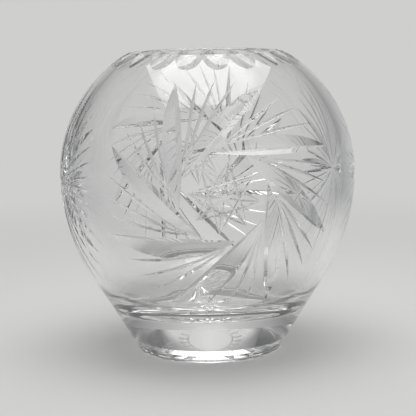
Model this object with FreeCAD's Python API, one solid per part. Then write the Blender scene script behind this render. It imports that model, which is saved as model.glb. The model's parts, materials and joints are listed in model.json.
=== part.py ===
import FreeCAD, Part
import math
import os

# Rose bowl vase of clear cut crystal: a blown bowl on a thick foot, with cuts ground into its outside.
# Lengths are in millimetres and angles in degrees.
# The origin is the middle of the face that the vase stands on, with +Z up.
# Azimuth 0 faces -Y and grows towards +X.

# Outside of the bowl
vase_height = 200.0
belly_height = 119.5
belly_radius = 98.5
shoulder_arc_radius = 92.0
flank_arc_radius = 130.0
cone_top_height = 52.0

# Hollow of the bowl
belly_wall = 8.0
mouth_radius = 42.5
lip_bevel = 0.8
hollow_floor_height = 33.0
hollow_corner_radius = 33.0

# Foot
foot_height = 9.3
foot_ring_height = 4.8
foot_ring_radius = 49.4
foot_edge_round = 1.5
underside_radius = 40.0
underside_depth = 0.8

# Whirling star, cut twice, on opposite sides
whirl_count = 2
whirl_azimuth = 5.8
whirl_height = 116.7
whirl_turn = 20.9

# Leaf-shaped blades of the whirling star, each with a wide and a narrow flank
blade_count = 8
blade_tip_reach = 81.0
blade_root_reach = 28.4
blade_root_turn = 84.5
blade_depth = 3.4
blade_wide_flank = 8.7
blade_narrow_flank = 4.7

# Fine cuts that fan out after each blade
fan_tip_reach = 77.5
fan_tip_turns = (14.5, 25.3, 34.8)
fan_root_reach = 31.6
fan_root_turn = 72.0

# Eight-pointed star in the middle of the whirl
centre_star_reach = 22.5
centre_star_setback = 1.2
centre_star_turn = -7.75
centre_star_skip = 3

# Rayed star, cut twice, between the whirls
ray_star_azimuth = 104.0
ray_star_height = 117.0
leaf_upright_reach = 74.0
leaf_slanted_reach = 59.0
leaf_level_reach = 48.0
leaf_setback = 1.5
leaf_count = 8
leaf_flank = 3.0
leaf_depth = 1.8
rays_between_leaves = 3
ray_setback = 8.0
ray_shortfall = 3.0

# Fine mitre cuts
fine_depth = 0.8
fine_flank = 1.1

# Row of round-bottomed flutes at the lip
lip_flute_count = 20
lip_flute_azimuth = 7.0
lip_flute_low_height = 191.5
lip_flute_length = 30.0
lip_flute_depth = 2.2
lip_flute_section_radius = 22.0

# Star cut under the foot
under_star_count = 16
under_star_inner_reach = 3.0
under_star_outer_reach = 37.0
under_star_depth = 2.4
under_star_flank = 2.6

# How far a cutting section reaches past the surface that it cuts
cut_overrun = 1.0

UP = FreeCAD.Vector(0, 0, 1)
BELLY_CENTRE = FreeCAD.Vector(0, 0, belly_height)

# Outside arcs: both start upright at the belly
shoulder_centre_radius = belly_radius - shoulder_arc_radius
flank_centre_radius = belly_radius - flank_arc_radius
lip_radius = shoulder_centre_radius + math.sqrt(shoulder_arc_radius ** 2 - (vase_height - belly_height) ** 2)
cone_drop = belly_height - cone_top_height
cone_top_radius = flank_centre_radius + math.sqrt(flank_arc_radius ** 2 - cone_drop ** 2)
cone_slope = cone_drop / (cone_top_radius - flank_centre_radius)


def cone_radius(height):
    """Outer radius of the conical lower body at a height."""
    return cone_top_radius - cone_slope * (cone_top_height - height)


def section_point(radius, height):
    """Point of the half section."""
    return FreeCAD.Vector(radius, 0, height)


def arc_about(centre, start, end):
    """Arc of the half section from start to end, about a centre, the short way round."""
    middle = (start - centre).normalize() + (end - centre).normalize()
    radius = (start - centre).Length
    return Part.Arc(start, centre + middle.normalize() * radius, end).toShape()


def straight(start, end):
    """Straight edge between two points."""
    return Part.LineSegment(start, end).toShape()


def turned_solid(face, centre, axis, angle):
    """Solid made by turning a face about an axis, with its skin facing out."""
    solid = face.revolve(centre, axis, angle)
    if solid.Volume < 0:
        solid.reverse()
    return solid


def turned(edges):
    """Solid made by turning a closed half section about the upright axis."""
    return turned_solid(Part.Face(Part.Wire(edges)), FreeCAD.Vector(0, 0, 0), UP, 360)


def hollow_edges(lip_inside):
    """Edges of the hollow, from the lip down to the middle of its floor."""
    wall_radius = belly_radius - belly_wall
    rise = lip_inside.z - belly_height
    upper_centre = (wall_radius ** 2 - lip_inside.x ** 2 - rise ** 2) / (2 * (wall_radius - lip_inside.x))
    belly_inside = section_point(wall_radius, belly_height)
    flank_centre = section_point(flank_centre_radius, belly_height)
    tilt = math.atan(cone_slope)
    outward = section_point(math.cos(tilt), -math.sin(tilt))
    side_end = flank_centre + outward * (flank_arc_radius - belly_wall)
    # The corner arc touches both the straight, which follows the cone, and the flat floor.
    corner_height = hollow_floor_height + hollow_corner_radius
    reach = side_end.dot(outward) - hollow_corner_radius
    floor_radius = (reach + corner_height * math.sin(tilt)) / math.cos(tilt)
    corner_centre = section_point(floor_radius, corner_height)
    corner_start = corner_centre + outward * hollow_corner_radius
    floor_edge = section_point(floor_radius, hollow_floor_height)
    floor_middle = section_point(0, hollow_floor_height)
    return [arc_about(section_point(upper_centre, belly_height), lip_inside, belly_inside),
            arc_about(flank_centre, belly_inside, side_end),
            straight(side_end, corner_start),
            arc_about(corner_centre, corner_start, floor_edge),
            straight(floor_edge, floor_middle)]


def bowl_blank():
    """Bowl before cutting, from the top of the foot to the lip."""
    base_middle = section_point(0, foot_height)
    base_edge = section_point(cone_radius(foot_height), foot_height)
    cone_top = section_point(cone_top_radius, cone_top_height)
    belly = section_point(belly_radius, belly_height)
    lip_outside = section_point(lip_radius, vase_height)
    lip_top = section_point(mouth_radius + lip_bevel, vase_height)
    lip_inside = section_point(mouth_radius, vase_height - lip_bevel)
    edges = [straight(base_middle, base_edge),
             straight(base_edge, cone_top),
             arc_about(section_point(flank_centre_radius, belly_height), cone_top, belly),
             arc_about(section_point(shoulder_centre_radius, belly_height), belly, lip_outside),
             straight(lip_outside, lip_top),
             straight(lip_top, lip_inside)]
    edges += hollow_edges(lip_inside)
    edges.append(straight(edges[-1].Vertexes[-1].Point, base_middle))
    return turned(edges)


def surface_point(direction):
    """Point of the uncut outside that lies in a direction from the middle of the belly."""
    level = math.hypot(direction.x, direction.y)
    rise = direction.z
    if rise >= 0:
        centre, radius = shoulder_centre_radius, shoulder_arc_radius
    else:
        centre, radius = flank_centre_radius, flank_arc_radius
    reach = centre * level + math.sqrt(radius ** 2 - (centre * rise) ** 2)
    if belly_height + reach * rise < cone_top_height:
        reach = cone_radius(belly_height) / (level - cone_slope * rise)
    return BELLY_CENTRE + direction * reach


def point_at_height(azimuth, height):
    """Point of the uncut outside at an azimuth and a height."""
    if height >= belly_height:
        radius = shoulder_centre_radius + math.sqrt(shoulder_arc_radius ** 2 - (height - belly_height) ** 2)
    elif height >= cone_top_height:
        radius = flank_centre_radius + math.sqrt(flank_arc_radius ** 2 - (height - belly_height) ** 2)
    else:
        radius = cone_radius(height)
    angle = math.radians(azimuth)
    return FreeCAD.Vector(radius * math.sin(angle), -radius * math.cos(angle), height)


class Motif:
    """Polar coordinates laid on the belly: a reach from the motif's centre, and a turn from level."""

    def __init__(self, azimuth, height):
        self.middle = (point_at_height(azimuth, height) - BELLY_CENTRE).normalize()
        self.level = UP.cross(self.middle).normalize()
        self.upright = self.middle.cross(self.level)

    def point(self, reach, turn):
        angle = math.radians(turn)
        spread = reach / belly_radius
        heading = self.level * math.cos(angle) + self.upright * math.sin(angle)
        return surface_point(self.middle * math.cos(spread) + heading * math.sin(spread))


def wheel_cutter(start, halfway, end, outward, depth, section):
    """Cutter whose valley rises to the surface at start and end.

    Its deepest point lies a depth under the surface point halfway, and the section is drawn there.
    """
    chord = (end - start).normalize()
    out = (outward - chord * outward.dot(chord)).normalize()
    deepest = halfway - out * depth
    circle = Part.Arc(start, deepest, end).toShape().Curve
    first = start - circle.Center
    last = end - circle.Center
    axis = first.cross(last).normalize()
    sweep = math.degrees(first.getAngle(last))
    face = section(deepest, out, chord.cross(out), depth)
    face.rotate(circle.Center, axis, -sweep / 2)
    return turned_solid(face, circle.Center, axis, sweep)


def mitre_section(left_flank, right_flank):
    """Drawer of a V section whose flanks have these widths at the surface."""
    def draw(deepest, out, across, depth):
        rise = depth + cut_overrun
        left = deepest + out * rise + across * (left_flank * rise / depth)
        right = deepest + out * rise - across * (right_flank * rise / depth)
        return Part.Face(Part.makePolygon([deepest, left, right, deepest]))
    return draw


def flute_section(radius):
    """Drawer of a round section."""
    def draw(deepest, out, across, depth):
        rise = depth + cut_overrun
        half_width = math.sqrt(radius ** 2 - (radius - rise) ** 2)
        left = deepest + out * rise + across * half_width
        right = deepest + out * rise - across * half_width
        bottom = Part.Arc(left, deepest, right).toShape()
        return Part.Face(Part.Wire([bottom, straight(right, left)]))
    return draw


def mitre(start, end, depth, left_flank, right_flank):
    """V cutter between two points of the outside."""
    outward = ((start + end) * 0.5 - BELLY_CENTRE).normalize()
    section = mitre_section(left_flank, right_flank)
    return wheel_cutter(start, surface_point(outward), end, outward, depth, section)


def fine_mitre(start, end):
    """Fine V cutter between two points of the outside."""
    return mitre(start, end, fine_depth, fine_flank, fine_flank)


def whirl_cuts(motif):
    """Cutters of one whirling star, in groups: fans, blades, then its centre star."""
    fans, blades, chords, rays = [], [], [], []
    step = 360 / blade_count
    for index in range(blade_count):
        turn = whirl_turn + index * step
        fan_root = motif.point(fan_root_reach, turn + fan_root_turn)
        for fan_turn in fan_tip_turns:
            fans.append(fine_mitre(motif.point(fan_tip_reach, turn + fan_turn), fan_root))
        tip = motif.point(blade_tip_reach, turn)
        root = motif.point(blade_root_reach, turn + blade_root_turn)
        blades.append(mitre(tip, root, blade_depth, blade_wide_flank, blade_narrow_flank))
        star_turn = centre_star_turn + index * step
        point = motif.point(centre_star_reach, star_turn)
        chords.append(fine_mitre(point, motif.point(centre_star_reach, star_turn + centre_star_skip * step)))
        rays.append(fine_mitre(motif.point(centre_star_setback, star_turn), point))
    return [fans, blades, chords, rays]


def ray_reach(turn):
    """Reach of a ray of the rayed star: longest upright, shortest level."""
    corner = math.sin(math.radians(45))
    slant = abs(math.sin(math.radians(turn)))
    if slant >= corner:
        share = (slant - corner) / (1 - corner)
        return leaf_slanted_reach + share * (leaf_upright_reach - leaf_slanted_reach)
    share = slant / corner
    return leaf_level_reach + share * (leaf_slanted_reach - leaf_level_reach)


def ray_star_cuts(motif):
    """Cutters of one rayed star, in groups: the fine rays, then the leaves."""
    rays, leaves = [], []
    step = 360 / leaf_count
    for index in range(leaf_count):
        turn = index * step
        root = motif.point(leaf_setback, turn)
        leaves.append(mitre(root, motif.point(ray_reach(turn), turn), leaf_depth, leaf_flank, leaf_flank))
        for ray in range(1, rays_between_leaves + 1):
            ray_turn = turn + ray * step / (rays_between_leaves + 1)
            root = motif.point(ray_setback, ray_turn)
            rays.append(fine_mitre(root, motif.point(ray_reach(ray_turn) - ray_shortfall, ray_turn)))
    return [rays, leaves]


def lip_flutes():
    """Cutters of the flutes that run out over the lip."""
    cutters = []
    half_turn = math.degrees(lip_flute_length / shoulder_arc_radius) / 2
    for index in range(lip_flute_count):
        azimuth = lip_flute_azimuth + index * 360 / lip_flute_count
        start = point_at_height(azimuth, lip_flute_low_height)
        level = FreeCAD.Vector(start.x, start.y, 0).normalize()
        centre = BELLY_CENTRE + level * shoulder_centre_radius
        climb = FreeCAD.Rotation(level.cross(UP), half_turn)
        halfway = centre + climb.multVec(start - centre)
        end = centre + climb.multVec(halfway - centre)
        section = flute_section(lip_flute_section_radius)
        cutters.append(wheel_cutter(start, halfway, end, halfway - centre, lip_flute_depth, section))
    return cutters


def carved(solid, groups):
    """Solid after each group of cutters in turn; chips that come loose fall away."""
    for cutters in groups:
        solid = max(solid.cut(cutters).Solids, key=lambda piece: piece.Volume)
    return solid


def make_bowl():
    """Bowl with all its cuts."""
    groups = [lip_flutes()]
    for index in range(whirl_count):
        turn = index * 360 / whirl_count
        groups += whirl_cuts(Motif(whirl_azimuth + turn, whirl_height))
        groups += ray_star_cuts(Motif(ray_star_azimuth + turn, ray_star_height))
    return carved(bowl_blank(), groups)


def foot_blank():
    """Foot before its star is cut: a chamfered band over a standing ring."""
    round_centre = section_point(foot_ring_radius - foot_edge_round, foot_edge_round)
    corners = [section_point(foot_ring_radius - foot_edge_round, 0),
               section_point(underside_radius, 0),
               section_point(underside_radius - underside_depth, underside_depth),
               section_point(0, underside_depth),
               section_point(0, foot_height),
               section_point(cone_radius(foot_height), foot_height),
               section_point(foot_ring_radius, foot_ring_height),
               section_point(foot_ring_radius, foot_edge_round)]
    edges = [straight(corners[index], corners[index + 1]) for index in range(len(corners) - 1)]
    edges.append(arc_about(round_centre, corners[-1], corners[0]))
    return turned(edges)


def under_star_cuts():
    """Cutters of the star under the foot."""
    cutters = []
    for index in range(under_star_count):
        angle = math.radians(index * 360 / under_star_count)
        heading = FreeCAD.Vector(math.cos(angle), math.sin(angle), 0)
        start = heading * under_star_inner_reach + UP * underside_depth
        end = heading * under_star_outer_reach + UP * underside_depth
        section = mitre_section(under_star_flank, under_star_flank)
        cutters.append(wheel_cutter(start, (start + end) * 0.5, end, -UP, under_star_depth, section))
    return cutters


def make_foot():
    """Foot with the star under it."""
    return carved(foot_blank(), [under_star_cuts()])


def main():
    os.makedirs("parts", exist_ok=True)
    for name, shape in (("bowl", make_bowl()), ("foot", make_foot())):
        shape.exportStep("parts/" + name + ".step")
        print(name, "solids", len(shape.Solids), "valid", shape.isValid(), "volume", round(shape.Volume))


if __name__ == "__main__":
    main()
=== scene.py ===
import json
import logging
import math
from dataclasses import dataclass, field
from enum import Enum
from typing import Dict, List, Optional, Tuple

import bmesh
import bpy
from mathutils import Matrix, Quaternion, Vector

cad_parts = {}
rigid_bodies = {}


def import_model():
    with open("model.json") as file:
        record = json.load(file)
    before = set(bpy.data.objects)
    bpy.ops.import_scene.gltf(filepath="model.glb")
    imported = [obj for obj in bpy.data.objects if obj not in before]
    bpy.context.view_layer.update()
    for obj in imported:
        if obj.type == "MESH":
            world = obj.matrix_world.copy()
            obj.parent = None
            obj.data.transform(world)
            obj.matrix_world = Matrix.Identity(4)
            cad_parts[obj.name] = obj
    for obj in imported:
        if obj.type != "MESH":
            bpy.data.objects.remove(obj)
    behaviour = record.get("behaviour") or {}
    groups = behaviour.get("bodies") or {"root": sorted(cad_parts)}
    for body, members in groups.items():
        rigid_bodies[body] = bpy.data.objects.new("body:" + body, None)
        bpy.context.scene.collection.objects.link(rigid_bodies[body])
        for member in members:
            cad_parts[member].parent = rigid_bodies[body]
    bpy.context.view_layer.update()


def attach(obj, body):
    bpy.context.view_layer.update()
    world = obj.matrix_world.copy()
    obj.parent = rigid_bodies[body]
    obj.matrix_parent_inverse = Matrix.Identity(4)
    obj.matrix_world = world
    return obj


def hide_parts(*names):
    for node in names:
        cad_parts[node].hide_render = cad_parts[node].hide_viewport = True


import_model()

log = logging.getLogger("rose_bowl")

MM = 0.001
FULL_TURN = 2 * math.pi
UP = Vector((0, 0, 1))
CUBIC_CENTIMETRE = (10 * MM) ** 3

# How the studio darkens to its sides and ceiling, by the direction of a place: its sideways part and a share
# of its upward part are added, and the sum is pale up to one reach and darkest from the other.
CEILING_SHARE = 0.5
PALE_REACH = 0.2
DARKEST_REACH = 1.15

Point = Tuple[float, float]


def linear(code: str) -> Tuple[float, float, float, float]:
    """Turn an sRGB hex colour into the linear colour that the shaders work in.

    Args:
        code: Six hex digits, with or without a leading #.

    Returns:
        Red, green, blue and an alpha of 1.
    """
    digits = code.lstrip("#")
    shares = [int(digits[index:index + 2], 16) / 255 for index in (0, 2, 4)]
    # The sRGB curve: straight up to 0.04045, and a power above it.
    parts = [share / 12.92 if share <= 0.04045 else ((share + 0.055) / 1.055) ** 2.4 for share in shares]
    return (parts[0], parts[1], parts[2], 1.0)


def add_node(tree: bpy.types.NodeTree, kind: str, links: Optional[dict] = None, **settings) -> bpy.types.Node:
    """Add one shader node with its settings and incoming links.

    Args:
        tree: Node tree that takes the node.
        kind: Type name of the node.
        links: Input name or number to a value, or to the output socket that feeds it.
        settings: Properties set on the node itself.

    Returns:
        The new node.
    """
    node = tree.nodes.new(kind)
    for name, value in settings.items():
        setattr(node, name, value)
    for name, value in (links or {}).items():
        if isinstance(value, bpy.types.NodeSocket):
            tree.links.new(value, node.inputs[name])
        else:
            node.inputs[name].default_value = value
    return node


def fresh_material(name: str) -> Tuple[bpy.types.Material, bpy.types.NodeTree]:
    """Make an empty node material.

    Args:
        name: Name of the material.

    Returns:
        The material and its cleared node tree.
    """
    material = bpy.data.materials.new(name)
    material.use_nodes = True
    material.node_tree.nodes.clear()
    return material, material.node_tree


def arc_points(centre: Point, radius: float, first: float, last: float, steps: int) -> List[Point]:
    """Points along an arc of the half section.

    Args:
        centre: Radius and height of the arc's centre.
        radius: Radius of the arc.
        first: Angle of its start above level, in degrees.
        last: Angle of its end.
        steps: Number of steps.

    Returns:
        The points, with both ends.
    """
    angles = [math.radians(first + (last - first) * step / steps) for step in range(steps + 1)]
    return [(centre[0] + radius * math.cos(angle), centre[1] + radius * math.sin(angle)) for angle in angles]


def line_points(start: Point, end: Point, steps: int) -> List[Point]:
    """Points along a straight of the half section, without its start."""
    shares = [step / steps for step in range(1, steps + 1)]
    return [(start[0] + (end[0] - start[0]) * share, start[1] + (end[1] - start[1]) * share)
            for share in shares]


def circle_centre(first: Vector, second: Vector, third: Vector) -> Vector:
    """Centre of the circle through three points."""
    side, base = second - first, third - first
    normal = side.cross(base)
    offset = normal.cross(side) * base.length_squared + base.cross(normal) * side.length_squared
    return first + offset / (2 * normal.length_squared)


class Bench:
    """Bench on which meshes are drawn and turned in edit mode."""

    def begin(self, name: str, first: Vector) -> bpy.types.Object:
        """Start a piece from one point: a small ring, put in place and merged.

        Args:
            name: Name of the piece.
            first: The point, in metres.

        Returns:
            The piece, in edit mode with the point selected.
        """
        bpy.ops.object.select_all(action="DESELECT")
        bpy.ops.mesh.primitive_circle_add(vertices=3, radius=MM)
        piece = bpy.context.object
        piece.name = name
        piece.data.name = name
        bpy.ops.object.mode_set(mode="EDIT")
        bpy.ops.transform.translate(value=first)
        bpy.ops.mesh.merge(type="CENTER")
        return piece

    def draw(self, points: List[Vector]) -> None:
        """Extrude the selected end of a chain from point to point.

        Args:
            points: All the points of the chain, with the one that is there already.
        """
        for here, there in zip(points, points[1:]):
            bpy.ops.mesh.extrude_region_move(TRANSFORM_OT_translate={"value": there - here})
        bpy.ops.mesh.select_all(action="SELECT")

    def turn(self, centre: Vector, axis: Vector, angle: float, steps: int) -> None:
        """Spin what is selected, anticlockwise about an axis, in radians."""
        bpy.ops.mesh.spin(steps=steps, dupli=False, angle=-angle, use_auto_merge=False,
                          use_normal_flip=False, center=centre, axis=axis)

    def close(self, merge: float = 0.0) -> None:
        """Merge doubles closer than a length, face everything outwards and leave edit mode."""
        bpy.ops.mesh.select_all(action="SELECT")
        if merge:
            bpy.ops.mesh.remove_doubles(threshold=merge)
        bpy.ops.mesh.normals_make_consistent(inside=False)
        bpy.ops.object.mode_set(mode="OBJECT")


@dataclass
class Profile:
    """Half section of the vase, as arcs and straights in radius and height."""

    height: float = 200 * MM
    belly_height: float = 119.5 * MM
    belly_radius: float = 98.5 * MM
    shoulder_arc: float = 92 * MM
    flank_arc: float = 130 * MM
    cone_top: float = 52 * MM
    wall: float = 8 * MM
    mouth_radius: float = 42.5 * MM
    lip_bevel: float = 0.8 * MM
    floor_height: float = 33 * MM
    floor_corner: float = 33 * MM
    foot_height: float = 9.3 * MM
    ring_height: float = 4.8 * MM
    ring_radius: float = 49.4 * MM
    edge_round: float = 1.5 * MM
    underside_radius: float = 40 * MM
    underside_depth: float = 0.8 * MM
    edge_steps: int = 8
    band_steps: int = 4
    cone_steps: int = 18
    flank_steps: int = 30
    shoulder_steps: int = 44
    wall_steps: int = 4
    corner_steps: int = 20
    floor_steps: int = 6

    @property
    def shoulder_centre(self) -> float:
        """Radius at which the shoulder arc is centred."""
        return self.belly_radius - self.shoulder_arc

    @property
    def flank_centre(self) -> float:
        """Radius at which the flank arc is centred."""
        return self.belly_radius - self.flank_arc

    @property
    def cone_top_radius(self) -> float:
        """Outer radius where the flank arc meets the cone."""
        return self.flank_centre + math.sqrt(self.flank_arc ** 2 - (self.belly_height - self.cone_top) ** 2)

    @property
    def cone_slope(self) -> float:
        """Growth of the cone's radius with height."""
        return (self.belly_height - self.cone_top) / (self.cone_top_radius - self.flank_centre)

    def cone_radius(self, height: float) -> float:
        """Outer radius of the cone at a height."""
        return self.cone_top_radius - self.cone_slope * (self.cone_top - height)

    def radius_at(self, height: float) -> float:
        """Outer radius of the uncut glass at a height."""
        rise = height - self.belly_height
        if rise >= 0:
            return self.shoulder_centre + math.sqrt(self.shoulder_arc ** 2 - rise ** 2)
        if height >= self.cone_top:
            return self.flank_centre + math.sqrt(self.flank_arc ** 2 - rise ** 2)
        return self.cone_radius(height)

    def at(self, azimuth: float, height: float) -> Vector:
        """Point of the uncut outside at an azimuth in degrees, which is 0 at -Y, and a height."""
        radius = self.radius_at(height)
        angle = math.radians(azimuth)
        return Vector((radius * math.sin(angle), -radius * math.cos(angle), height))

    def towards(self, direction: Vector) -> Vector:
        """Point of the uncut outside that lies in a direction from the middle of the belly.

        Args:
            direction: Unit vector.

        Returns:
            The point, in metres.
        """
        level = math.hypot(direction.x, direction.y)
        upper = direction.z >= 0
        centre = self.shoulder_centre if upper else self.flank_centre
        radius = self.shoulder_arc if upper else self.flank_arc
        reach = centre * level + math.sqrt(radius ** 2 - (centre * direction.z) ** 2)
        if self.belly_height + reach * direction.z < self.cone_top:
            reach = self.cone_radius(self.belly_height) / (level - self.cone_slope * direction.z)
        return UP * self.belly_height + direction * reach

    def foot_points(self) -> List[Point]:
        """Points of the foot, from the middle of its underside to its top edge."""
        points = [(0.0, self.underside_depth),
                  (self.underside_radius - self.underside_depth, self.underside_depth),
                  (self.underside_radius, 0.0)]
        corner = (self.ring_radius - self.edge_round, self.edge_round)
        points += arc_points(corner, self.edge_round, -90, 0, self.edge_steps)
        points.append((self.ring_radius, self.ring_height))
        top = (self.cone_radius(self.foot_height), self.foot_height)
        return points + line_points(points[-1], top, self.band_steps)

    def outside_points(self) -> List[Point]:
        """Points of the bowl's outside, from the top edge of the foot to the lip."""
        low = -math.degrees(math.asin((self.belly_height - self.cone_top) / self.flank_arc))
        high = math.degrees(math.asin((self.height - self.belly_height) / self.shoulder_arc))
        foot = (self.cone_radius(self.foot_height), self.foot_height)
        flank_middle = (self.flank_centre, self.belly_height)
        shoulder_middle = (self.shoulder_centre, self.belly_height)
        points = line_points(foot, (self.cone_top_radius, self.cone_top), self.cone_steps)
        points += arc_points(flank_middle, self.flank_arc, low, 0, self.flank_steps)[1:]
        points += arc_points(shoulder_middle, self.shoulder_arc, 0, high, self.shoulder_steps)[1:]
        return points + [(self.mouth_radius + self.lip_bevel, self.height)]

    def hollow_points(self) -> List[Point]:
        """Points of the hollow, from the lip down to the middle of its floor."""
        inner = self.belly_radius - self.wall
        rise = self.height - self.lip_bevel - self.belly_height
        upper = (inner ** 2 - self.mouth_radius ** 2 - rise ** 2) / (2 * (inner - self.mouth_radius))
        top = math.degrees(math.asin(rise / (inner - upper)))
        tilt = math.atan(self.cone_slope)
        lean = -math.degrees(tilt)
        flank_middle = (self.flank_centre, self.belly_height)
        points = arc_points((upper, self.belly_height), inner - upper, top, 0, self.shoulder_steps)
        points += arc_points(flank_middle, self.flank_arc - self.wall, 0, lean, self.flank_steps)[1:]
        # The corner's centre lies one corner radius in from the wall's straight and above the floor.
        level = self.floor_height + self.floor_corner
        reach = points[-1][0] * math.cos(tilt) - points[-1][1] * math.sin(tilt) - self.floor_corner
        corner = ((reach + level * math.sin(tilt)) / math.cos(tilt), level)
        bend = arc_points(corner, self.floor_corner, lean, -90, self.corner_steps)
        points += line_points(points[-1], bend[0], self.wall_steps) + bend[1:]
        return points + line_points(bend[-1], (0.0, self.floor_height), self.floor_steps)


class Wheel(Enum):
    """Rim shapes of the cutting wheels."""

    MITRE = "mitre"
    ROUND = "round"


@dataclass
class WheelCut:
    """One pass of a wheel, whose valley rises to the surface at start and end."""

    start: Vector
    halfway: Vector
    end: Vector
    outward: Vector
    depth: float
    left_flank: float = 0.0
    right_flank: float = 0.0
    wheel: Wheel = Wheel.MITRE
    rim_radius: float = 0.0
    overrun: float = 1 * MM
    step_length: float = 2.5 * MM
    least_steps: int = 4
    rim_steps: int = 16

    def section(self, deepest: Vector, out: Vector, across: Vector) -> List[Vector]:
        """Corners of the section drawn at the deepest point.

        Args:
            deepest: Deepest point of the valley.
            out: Unit vector out of the glass.
            across: Unit vector across the valley.

        Returns:
            The corners, in order.
        """
        rise = self.depth + self.overrun
        if self.wheel is Wheel.MITRE:
            left = across * (self.left_flank * rise / self.depth)
            right = across * (self.right_flank * rise / self.depth)
            return [deepest + out * rise + left, deepest, deepest + out * rise - right]
        half = math.degrees(math.acos(1 - rise / self.rim_radius))
        corners = arc_points((0.0, 0.0), self.rim_radius, -half, half, self.rim_steps)
        return [deepest + out * (self.rim_radius - height) + across * side for height, side in corners]

    def model(self, bench: Bench, name: str) -> bpy.types.Object:
        """Model the cutter: the section, drawn at the start and spun to the end.

        Args:
            bench: Bench that it is modelled on.
            name: Name of the cutter.

        Returns:
            The cutter.
        """
        chord = (self.end - self.start).normalized()
        out = (self.outward - chord * self.outward.dot(chord)).normalized()
        deepest = self.halfway - out * self.depth
        centre = circle_centre(self.start, deepest, self.end)
        first, last = self.start - centre, self.end - centre
        axis = first.cross(last).normalized()
        angle = first.angle(last)
        back = Quaternion(axis, -angle / 2)
        section = self.section(deepest, out, chord.cross(out))
        corners = [centre + back @ (corner - centre) for corner in section]
        cutter = bench.begin(name, corners[0])
        bench.draw(corners)
        bpy.ops.mesh.edge_face_add()
        steps = max(self.least_steps, round((self.end - self.start).length / self.step_length))
        bench.turn(centre, axis, angle, steps)
        bench.close()
        return cutter


@dataclass
class Motif:
    """Polar coordinates laid on the belly: a reach from the motif's centre, and a turn from level."""

    profile: Profile
    azimuth: float
    height: float

    def point(self, reach: float, turn: float) -> Vector:
        """Point of the uncut outside at a reach in metres and a turn in degrees."""
        middle = (self.profile.at(self.azimuth, self.height) - UP * self.profile.belly_height).normalized()
        level = UP.cross(middle).normalized()
        upright = middle.cross(level)
        angle = math.radians(turn)
        spread = reach / self.profile.belly_radius
        heading = level * math.cos(angle) + upright * math.sin(angle)
        return self.profile.towards(middle * math.cos(spread) + heading * math.sin(spread))

    def mitre(self, start: Vector, end: Vector, depth: float, left_flank: float,
              right_flank: float) -> WheelCut:
        """Mitre cut between two points of the outside."""
        outward = ((start + end) / 2 - UP * self.profile.belly_height).normalized()
        return WheelCut(start, self.profile.towards(outward), end, outward, depth, left_flank, right_flank)

    def fine(self, start: Vector, end: Vector, depth: float = 0.8 * MM, flank: float = 1.1 * MM) -> WheelCut:
        """Fine mitre cut between two points of the outside."""
        return self.mitre(start, end, depth, flank, flank)


@dataclass
class WhirlingStar(Motif):
    """Whirl of leaf-shaped blades with fans of fine cuts, round an eight-pointed star."""

    turn: float = 20.9
    blades: int = 8
    tip_reach: float = 81 * MM
    root_reach: float = 28.4 * MM
    root_turn: float = 84.5
    depth: float = 3.4 * MM
    wide_flank: float = 8.7 * MM
    narrow_flank: float = 4.7 * MM
    fan_reach: float = 77.5 * MM
    fan_turns: Tuple[float, ...] = (14.5, 25.3, 34.8)
    fan_root_reach: float = 31.6 * MM
    fan_root_turn: float = 72.0
    star_reach: float = 22.5 * MM
    star_setback: float = 1.2 * MM
    star_turn: float = -7.75
    star_skip: int = 3

    def cuts(self) -> List[WheelCut]:
        """All the cuts of the whirl."""
        cuts = []
        step = 360 / self.blades
        for index in range(self.blades):
            turn = self.turn + index * step
            fan_root = self.point(self.fan_root_reach, turn + self.fan_root_turn)
            cuts += [self.fine(self.point(self.fan_reach, turn + fan), fan_root) for fan in self.fan_turns]
            root = self.point(self.root_reach, turn + self.root_turn)
            cuts.append(self.mitre(self.point(self.tip_reach, turn), root, self.depth,
                                   self.wide_flank, self.narrow_flank))
            star_turn = self.star_turn + index * step
            point = self.point(self.star_reach, star_turn)
            cuts.append(self.fine(point, self.point(self.star_reach, star_turn + self.star_skip * step)))
            cuts.append(self.fine(self.point(self.star_setback, star_turn), point))
        return cuts


@dataclass
class RayedStar(Motif):
    """Star of leaves with fine rays between them."""

    upright_reach: float = 74 * MM
    slanted_reach: float = 59 * MM
    level_reach: float = 48 * MM
    slanted_turn: float = 45.0
    leaves: int = 8
    leaf_setback: float = 1.5 * MM
    leaf_flank: float = 3 * MM
    leaf_depth: float = 1.8 * MM
    rays_between: int = 3
    ray_setback: float = 8 * MM
    ray_shortfall: float = 3 * MM

    def reach(self, turn: float) -> float:
        """Reach of a ray at a turn: longest upright, shortest level."""
        corner = math.sin(math.radians(self.slanted_turn))
        slant = abs(math.sin(math.radians(turn)))
        if slant >= corner:
            share = (slant - corner) / (1 - corner)
            return self.slanted_reach + share * (self.upright_reach - self.slanted_reach)
        return self.level_reach + slant / corner * (self.slanted_reach - self.level_reach)

    def cuts(self) -> List[WheelCut]:
        """All the cuts of the star."""
        cuts = []
        step = 360 / self.leaves
        for index in range(self.leaves):
            turn = index * step
            cuts.append(self.mitre(self.point(self.leaf_setback, turn), self.point(self.reach(turn), turn),
                                   self.leaf_depth, self.leaf_flank, self.leaf_flank))
            for ray in range(1, self.rays_between + 1):
                ray_turn = turn + ray * step / (self.rays_between + 1)
                tip = self.point(self.reach(ray_turn) - self.ray_shortfall, ray_turn)
                cuts.append(self.fine(self.point(self.ray_setback, ray_turn), tip))
        return cuts


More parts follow.
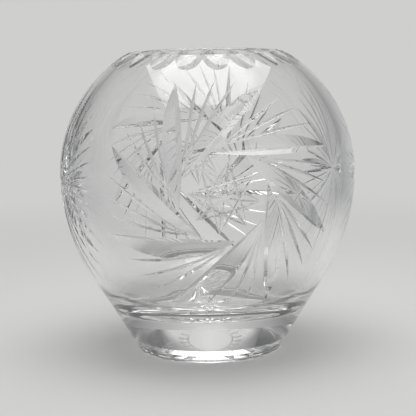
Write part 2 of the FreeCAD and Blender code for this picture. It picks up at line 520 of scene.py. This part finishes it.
@dataclass
class Flutes:
    """Row of round-bottomed flutes at the lip."""

    profile: Profile
    count: int = 20
    lip_azimuth: float = 7.0
    lip_low_height: float = 191.5 * MM
    lip_length: float = 30 * MM
    lip_depth: float = 2.2 * MM
    lip_rim_radius: float = 22 * MM
    lip_step_length: float = 1.2 * MM

    def lip_cuts(self) -> List[WheelCut]:
        """Flutes that run out over the lip."""
        cuts = []
        half = self.lip_length / self.profile.shoulder_arc / 2
        for index in range(self.count):
            start = self.profile.at(self.lip_azimuth + index * 360 / self.count, self.lip_low_height)
            level = Vector((start.x, start.y, 0)).normalized()
            centre = UP * self.profile.belly_height + level * self.profile.shoulder_centre
            climb = Quaternion(level.cross(UP), half)
            halfway = centre + climb @ (start - centre)
            end = centre + climb @ (halfway - centre)
            cuts.append(WheelCut(start, halfway, end, halfway - centre, self.lip_depth, wheel=Wheel.ROUND,
                                 rim_radius=self.lip_rim_radius, step_length=self.lip_step_length))
        return cuts


@dataclass
class UnderStar:
    """Star cut under the foot."""

    profile: Profile
    count: int = 16
    inner_reach: float = 3 * MM
    outer_reach: float = 37 * MM
    depth: float = 2.4 * MM
    flank: float = 2.6 * MM

    def cuts(self) -> List[WheelCut]:
        """All the rays of the star."""
        cuts = []
        for index in range(self.count):
            angle = index * FULL_TURN / self.count
            heading = Vector((math.cos(angle), math.sin(angle), 0))
            start = heading * self.inner_reach + UP * self.profile.underside_depth
            end = heading * self.outer_reach + UP * self.profile.underside_depth
            cuts.append(WheelCut(start, (start + end) / 2, end, -UP, self.depth, self.flank, self.flank))
        return cuts


# Lead crystal, blown, wheel-cut and acid-polished: water-clear and bright, with knife-sharp cut edges.
@dataclass(frozen=True)
class CutCrystal:
    """Finish of the vase, which lets the light of the lamps through with one tint."""

    name: str = "lead_crystal_cut_polished"
    index: float = 1.545
    roughness: float = 0.0
    tint: str = "#FFFFFF"
    lamp_tint: str = "#DEDEDE"

    def build(self) -> bpy.types.Material:
        """Build the glass.

        Returns:
            The finished material.
        """
        material, tree = fresh_material(self.name)
        glass = add_node(tree, "ShaderNodeBsdfGlass", {"Color": linear(self.tint),
                                                       "Roughness": self.roughness, "IOR": self.index})
        path = add_node(tree, "ShaderNodeLightPath")
        through = add_node(tree, "ShaderNodeBsdfTransparent", {"Color": linear(self.lamp_tint)})
        shown = add_node(tree, "ShaderNodeMixShader", {0: path.outputs["Is Shadow Ray"], 1: glass.outputs[0],
                                                       2: through.outputs[0]})
        add_node(tree, "ShaderNodeOutputMaterial", {"Surface": shown.outputs[0]})
        return material


# Background paper, matt and pale grey, laid out flat: even tone with the vase's soft shadow on it.
@dataclass(frozen=True)
class StudioPaper:
    """Finish of the floor: lit near the vase, and of one even tone far from it.

    What the glass shows of the far paper is darker towards the sides, as painted shade in the paper's glow.
    """

    name: str = "background_paper_matt"
    tone: str = "#DADAD9"
    far_tone: str = "#CFCFCE"
    # Painted shade: the tone the far paper takes towards the sides, where the glass shows it.
    painted_side_shade: str = "#75787C"
    near_radius: float = 0.2
    far_radius: float = 0.7

    def build(self) -> bpy.types.Material:
        """Build the paper.

        Returns:
            The finished material.
        """
        material, tree = fresh_material(self.name)
        near = add_node(tree, "ShaderNodeBsdfDiffuse", {"Color": linear(self.tone)})
        place = add_node(tree, "ShaderNodeTexCoord")
        path = add_node(tree, "ShaderNodeLightPath")
        dim = add_node(tree, "ShaderNodeMapRange", {"Value": path.outputs["Is Camera Ray"],
                                                    "To Min": dimming(tree, place.outputs["Object"]),
                                                    "To Max": 0.0})
        # Painted shade: paper seen in reflections and refractions turns darker towards the sides by the
        # studio's dimming.
        colour = add_node(tree, "ShaderNodeMix", {"Factor": dim.outputs[0], 6: linear(self.far_tone),
                                                  7: linear(self.painted_side_shade)}, data_type="RGBA")
        far = add_node(tree, "ShaderNodeEmission", {"Color": colour.outputs[2], "Strength": 1.0})
        distance = add_node(tree, "ShaderNodeVectorMath", {0: place.outputs["Object"]}, operation="LENGTH")
        share = add_node(tree, "ShaderNodeMapRange", {"Value": distance.outputs["Value"],
                                                      "From Min": self.near_radius,
                                                      "From Max": self.far_radius},
                         interpolation_type="SMOOTHSTEP")
        mixed = add_node(tree, "ShaderNodeMixShader", {0: share.outputs[0], 1: near.outputs[0],
                                                       2: far.outputs[0]})
        seen = seen_directly(tree)
        shown = add_node(tree, "ShaderNodeMixShader", {0: seen, 1: near.outputs[0], 2: mixed.outputs[0]})
        add_node(tree, "ShaderNodeOutputMaterial", {"Surface": shown.outputs[0]})
        return material


def seen_directly(tree: bpy.types.NodeTree) -> bpy.types.NodeSocket:
    """Socket that is 1 for what the camera, a reflection or a refraction sees, and 0 for stray light."""
    path = add_node(tree, "ShaderNodeLightPath")
    mirrored = add_node(tree, "ShaderNodeMath", {0: path.outputs["Is Camera Ray"],
                                                 1: path.outputs["Is Glossy Ray"]}, operation="MAXIMUM")
    return add_node(tree, "ShaderNodeMath", {0: mirrored.outputs[0], 1: path.outputs["Is Transmission Ray"]},
                    operation="MAXIMUM").outputs[0]


def dimming(tree: bpy.types.NodeTree, place: bpy.types.NodeSocket) -> bpy.types.NodeSocket:
    """Share by which the studio is darker at its sides and ceiling than in front of and behind the vase, in
    the room's light and as painted shade on the paper.

    Args:
        tree: Node tree that takes the nodes.
        place: Socket of a place seen from the vase.

    Returns:
        Socket that is 0 where it is pale and 1 where it is darkest.
    """
    heading = add_node(tree, "ShaderNodeVectorMath", {0: place}, operation="NORMALIZE")
    parts = add_node(tree, "ShaderNodeSeparateXYZ", {0: heading.outputs[0]})
    side = add_node(tree, "ShaderNodeMath", {0: parts.outputs["X"]}, operation="ABSOLUTE")
    away = add_node(tree, "ShaderNodeMath", {0: parts.outputs["Z"], 1: CEILING_SHARE, 2: side.outputs[0]},
                    operation="MULTIPLY_ADD")
    return add_node(tree, "ShaderNodeMapRange", {"Value": away.outputs[0], "From Min": PALE_REACH,
                                                 "From Max": DARKEST_REACH}).outputs[0]


@dataclass
class Vase:
    """The whole vase: blank, cuts and finish."""

    profile: Profile = field(default_factory=Profile)
    finish: CutCrystal = field(default_factory=CutCrystal)
    steps_round: int = 288
    merge: float = 0.005 * MM
    crisp_angle: float = 5.0
    whirl_azimuth: float = 5.8
    whirl_height: float = 116.7 * MM
    star_azimuth: float = 104.0
    star_height: float = 117 * MM

    def blank(self, bench: Bench) -> bpy.types.Object:
        """Turn the blank from its half section.

        Args:
            bench: Bench that it is modelled on.

        Returns:
            The blank.
        """
        outline = self.profile.foot_points() + self.profile.outside_points() + self.profile.hollow_points()
        points = [Vector((radius, 0, height)) for radius, height in outline]
        blank = bench.begin("crystal_vase", points[0])
        bench.draw(points)
        bench.turn(Vector(), UP, FULL_TURN, self.steps_round)
        bench.close(self.merge)
        return blank

    def cuts(self) -> Dict[str, List[WheelCut]]:
        """All the cuts, by what they are."""
        cuts = {"lip_flute": Flutes(self.profile).lip_cuts(),
                "under_ray": UnderStar(self.profile).cuts(), "whirl_cut": [], "star_cut": []}
        for side in (0, 180):
            whirl = WhirlingStar(self.profile, self.whirl_azimuth + side, self.whirl_height)
            star = RayedStar(self.profile, self.star_azimuth + side, self.star_height)
            cuts["whirl_cut"] += whirl.cuts()
            cuts["star_cut"] += star.cuts()
        return cuts

    def cut(self, blank: bpy.types.Object, bench: Bench) -> None:
        """Cut the blank with every cutter at once, and take the cutters away.

        Args:
            blank: The turned blank.
            bench: Bench that the cutters are modelled on.
        """
        rack = bpy.data.collections.new("cutters")
        bpy.context.scene.collection.children.link(rack)
        for kind, cuts in self.cuts().items():
            for index, cut in enumerate(cuts):
                cutter = cut.model(bench, f"{kind}_{index}")
                for shelf in list(cutter.users_collection):
                    shelf.objects.unlink(cutter)
                rack.objects.link(cutter)
            log.info("%d cutters of kind %s", len(cuts), kind)
        bpy.ops.object.select_all(action="DESELECT")
        bpy.context.view_layer.objects.active = blank
        blank.select_set(True)
        cutting = blank.modifiers.new("cutting", "BOOLEAN")
        cutting.operation = "DIFFERENCE"
        cutting.operand_type = "COLLECTION"
        cutting.collection = rack
        cutting.solver = "MANIFOLD"
        bpy.ops.object.modifier_apply(modifier=cutting.name)
        meshes = [cutter.data for cutter in rack.objects]
        for cutter in list(rack.objects):
            bpy.data.objects.remove(cutter)
        for mesh in meshes:
            bpy.data.meshes.remove(mesh)
        bpy.data.collections.remove(rack)

    def smooth(self, piece: bpy.types.Object) -> None:
        """Shade the polished surfaces smooth and keep the cut edges crisp."""
        bpy.ops.object.select_all(action="DESELECT")
        bpy.context.view_layer.objects.active = piece
        piece.select_set(True)
        bpy.ops.object.shade_smooth_by_angle(angle=math.radians(self.crisp_angle))

    def build(self, bench: Bench) -> bpy.types.Object:
        """Build and dress the vase.

        Args:
            bench: Bench that it is modelled on.

        Returns:
            The finished piece.
        """
        piece = self.blank(bench)
        self.cut(piece, bench)
        self.smooth(piece)
        piece.data.materials.clear()
        piece.data.materials.append(self.finish.build())
        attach(piece, "root")
        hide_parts("bowl", "foot")
        return piece


@dataclass
class Studio:
    """Floor, light and camera."""

    paper: StudioPaper = field(default_factory=StudioPaper)
    floor_size: float = 40.0
    box_size: Tuple[float, float] = (0.9, 0.9)
    box_place: Tuple[float, float, float] = (0.03, 0.01, 0.9)
    box_power: float = 6.6
    sky_size: Tuple[float, float] = (1.2, 1.2)
    sky_place: Tuple[float, float, float] = (0.0, 0.0, 1.8)
    sky_power: float = 5.0
    room_tone: str = "#1C1E22"
    fill_tone: str = "#6E6E6E"
    horizon_tone: str = "#CDCDCC"
    glow_tone: str = "#FFFFFF"
    glow_strength: float = 1.9
    glow_rim_height: float = 0.84
    glow_core_height: float = 0.9
    lens: float = 116.6
    sensor_width: float = 36.0
    camera_place: Tuple[float, float, float] = (0.0, -0.8981, 0.2442)
    camera_pitch: float = 9.46
    camera_roll: float = 1.0
    bounces: int = 24

    def floor(self) -> None:
        """Lay out the paper."""
        bpy.ops.object.select_all(action="DESELECT")
        bpy.ops.mesh.primitive_plane_add(size=self.floor_size)
        floor = bpy.context.object
        floor.name = "studio_floor"
        floor.data.materials.append(self.paper.build())

    def lamp(self, name: str, size: Tuple[float, float], place: Tuple[float, float, float],
             power: float) -> bpy.types.Object:
        """Hang a rectangular lamp that shines down.

        Args:
            name: Name of the lamp.
            size: Its sides.
            place: Its middle.
            power: Its power in watts.

        Returns:
            The lamp.
        """
        light = bpy.data.lights.new(name, "AREA")
        light.shape = "RECTANGLE"
        light.size, light.size_y = size
        light.energy = power
        lamp = bpy.data.objects.new(name, light)
        lamp.location = place
        bpy.context.scene.collection.objects.link(lamp)
        return lamp

    def lamps(self) -> None:
        """Hang the soft box that the glass mirrors, and a higher lamp that the glass doesn't show.

        Seen through the cuts, the soft box would leave burnt-out spots, so there the glow overhead shows.
        """
        box = self.lamp("soft_box", self.box_size, self.box_place, self.box_power)
        sky = self.lamp("sky_lamp", self.sky_size, self.sky_place, self.sky_power)
        box.visible_transmission = sky.visible_transmission = sky.visible_glossy = False

    def room(self) -> None:
        """Fill the room: stray light, pale walls, darker sides and ceiling, and a glow overhead."""
        world = bpy.data.worlds.new("studio_room")
        bpy.context.scene.world = world
        world.use_nodes = True
        tree = world.node_tree
        tree.nodes.clear()
        place = add_node(tree, "ShaderNodeTexCoord")
        walls = add_node(tree, "ShaderNodeMix", {"Factor": dimming(tree, place.outputs["Generated"]),
                                                 6: linear(self.horizon_tone), 7: linear(self.room_tone)},
                         data_type="RGBA")
        heading = add_node(tree, "ShaderNodeSeparateXYZ", {0: place.outputs["Generated"]})
        above = add_node(tree, "ShaderNodeMapRange", {"Value": heading.outputs["Z"],
                                                      "From Min": self.glow_rim_height,
                                                      "From Max": self.glow_core_height})
        inside = add_node(tree, "ShaderNodeMix", {"Factor": above.outputs[0], 6: walls.outputs[2],
                                                  7: linear(self.glow_tone)}, data_type="RGBA")
        shown = add_node(tree, "ShaderNodeMix", {"Factor": seen_directly(tree), 6: linear(self.fill_tone),
                                                 7: inside.outputs[2]}, data_type="RGBA")
        strength = add_node(tree, "ShaderNodeMapRange", {"Value": above.outputs[0], "To Min": 1.0,
                                                         "To Max": self.glow_strength})
        back = add_node(tree, "ShaderNodeBackground", {"Color": shown.outputs[2],
                                                       "Strength": strength.outputs[0]})
        add_node(tree, "ShaderNodeOutputWorld", {"Surface": back.outputs[0]})

    def camera(self) -> None:
        """Set up the camera at the photograph's angle."""
        lens = bpy.data.cameras.new("studio_camera")
        lens.lens = self.lens
        lens.sensor_width = self.sensor_width
        camera = bpy.data.objects.new("studio_camera", lens)
        camera.location = self.camera_place
        tilt = Quaternion((1, 0, 0), math.radians(90 - self.camera_pitch))
        roll = Quaternion((0, 0, 1), math.radians(-self.camera_roll))
        camera.rotation_euler = (tilt @ roll).to_euler()
        bpy.context.scene.collection.objects.link(camera)
        bpy.context.scene.camera = camera

    def build(self) -> None:
        """Set up the whole studio."""
        self.camera()
        self.floor()
        self.lamps()
        self.room()
        bpy.context.scene.view_settings.view_transform = "Standard"
        paths = bpy.context.scene.cycles
        paths.max_bounces = paths.transmission_bounces = paths.glossy_bounces = self.bounces


def report(piece: bpy.types.Object) -> None:
    """Log the size of a piece and whether its mesh is closed."""
    mesh = bmesh.new()
    mesh.from_mesh(piece.data)
    loose = sum(len(edge.link_faces) != 2 for edge in mesh.edges)
    triangles = sum(len(face.verts) - 2 for face in mesh.faces)
    volume = mesh.calc_volume(signed=True)
    mesh.free()
    log.info("%s: %d triangles, %d open edges, volume %.1f cm3", piece.name, triangles, loose,
             volume / CUBIC_CENTIMETRE)


def main() -> None:
    """Build the studio and the vase, and report each."""
    logging.basicConfig(level=logging.INFO, format="%(name)s: %(message)s")
    Studio().build()
    log.info("studio ready")
    report(Vase().build(Bench()))


if __name__ == "__main__":
    main()
